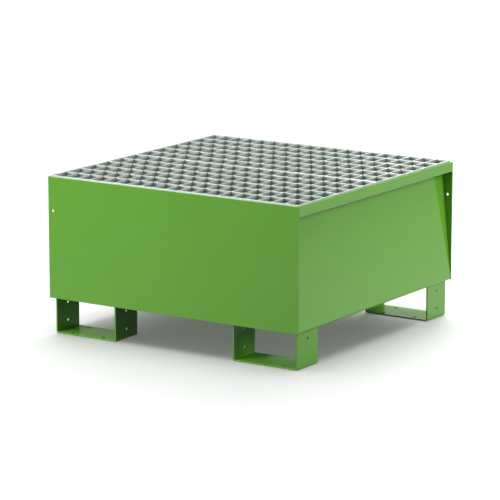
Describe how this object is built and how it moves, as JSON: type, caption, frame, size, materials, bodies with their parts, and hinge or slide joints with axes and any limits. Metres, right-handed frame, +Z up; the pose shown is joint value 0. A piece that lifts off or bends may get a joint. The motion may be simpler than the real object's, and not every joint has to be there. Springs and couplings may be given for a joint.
{
  "type": "spill containment pallet",
  "caption": "Square low steel sump on U-shaped feet for forks, with inset sloping side walls and lift-out galvanised grating panels to stand a drum on.",
  "frame": {"origin": "floor level, under the middle of the square base", "axes": "+Z up; +Y from the front end plate to the rear one, the way forks go in; +X to the right, across the trough's folded section"},
  "size_m": [0.8, 0.8, 0.4383],
  "materials": {
    "green_paint": "glossy yellow-green powder coat on folded sheet steel",
    "galvanised_steel": "hot-dip galvanised, matt light grey"
  },
  "bodies": {
    "tub": {"sump_trough": "green_paint", "front_end_plate": "green_paint", "rear_end_plate": "green_paint", "foot_front_left": "green_paint", "foot_front_right": "green_paint", "foot_rear_left": "green_paint", "foot_rear_right": "green_paint"},
    "front_grating": {"front_edge_banding": "galvanised_steel", "front_bearing_bar_1": "galvanised_steel", "front_bearing_bar_2": "galvanised_steel", "front_bearing_bar_3": "galvanised_steel", "front_bearing_bar_4": "galvanised_steel", "front_bearing_bar_5": "galvanised_steel", "front_cross_bar_01": "galvanised_steel", "front_cross_bar_02": "galvanised_steel", "front_cross_bar_03": "galvanised_steel", "front_cross_bar_04": "galvanised_steel", "front_cross_bar_05": "galvanised_steel", "front_cross_bar_06": "galvanised_steel", "front_cross_bar_07": "galvanised_steel", "front_cross_bar_08": "galvanised_steel", "front_cross_bar_09": "galvanised_steel", "front_cross_bar_10": "galvanised_steel", "front_cross_bar_11": "galvanised_steel", "front_cross_bar_12": "galvanised_steel", "front_cross_bar_13": "galvanised_steel", "front_cross_bar_14": "galvanised_steel", "front_cross_bar_15": "galvanised_steel", "front_cross_bar_16": "galvanised_steel", "front_cross_bar_17": "galvanised_steel", "front_cross_bar_18": "galvanised_steel"},
    "rear_grating": {"rear_edge_banding": "galvanised_steel", "rear_bearing_bar_1": "galvanised_steel", "rear_bearing_bar_2": "galvanised_steel", "rear_bearing_bar_3": "galvanised_steel", "rear_bearing_bar_4": "galvanised_steel", "rear_bearing_bar_5": "galvanised_steel", "rear_cross_bar_01": "galvanised_steel", "rear_cross_bar_02": "galvanised_steel", "rear_cross_bar_03": "galvanised_steel", "rear_cross_bar_04": "galvanised_steel", "rear_cross_bar_05": "galvanised_steel", "rear_cross_bar_06": "galvanised_steel", "rear_cross_bar_07": "galvanised_steel", "rear_cross_bar_08": "galvanised_steel", "rear_cross_bar_09": "galvanised_steel", "rear_cross_bar_10": "galvanised_steel", "rear_cross_bar_11": "galvanised_steel", "rear_cross_bar_12": "galvanised_steel", "rear_cross_bar_13": "galvanised_steel", "rear_cross_bar_14": "galvanised_steel", "rear_cross_bar_15": "galvanised_steel", "rear_cross_bar_16": "galvanised_steel", "rear_cross_bar_17": "galvanised_steel", "rear_cross_bar_18": "galvanised_steel"}
  },
  "joints": [
    {"name": "front_grating_lift", "type": "slide", "parent": "tub", "child": "front_grating", "axis": [0, 0, 1], "range_m": [0, 0.2]},
    {"name": "rear_grating_lift", "type": "slide", "parent": "tub", "child": "rear_grating", "axis": [0, 0, 1], "range_m": [0, 0.2]}
  ]
}
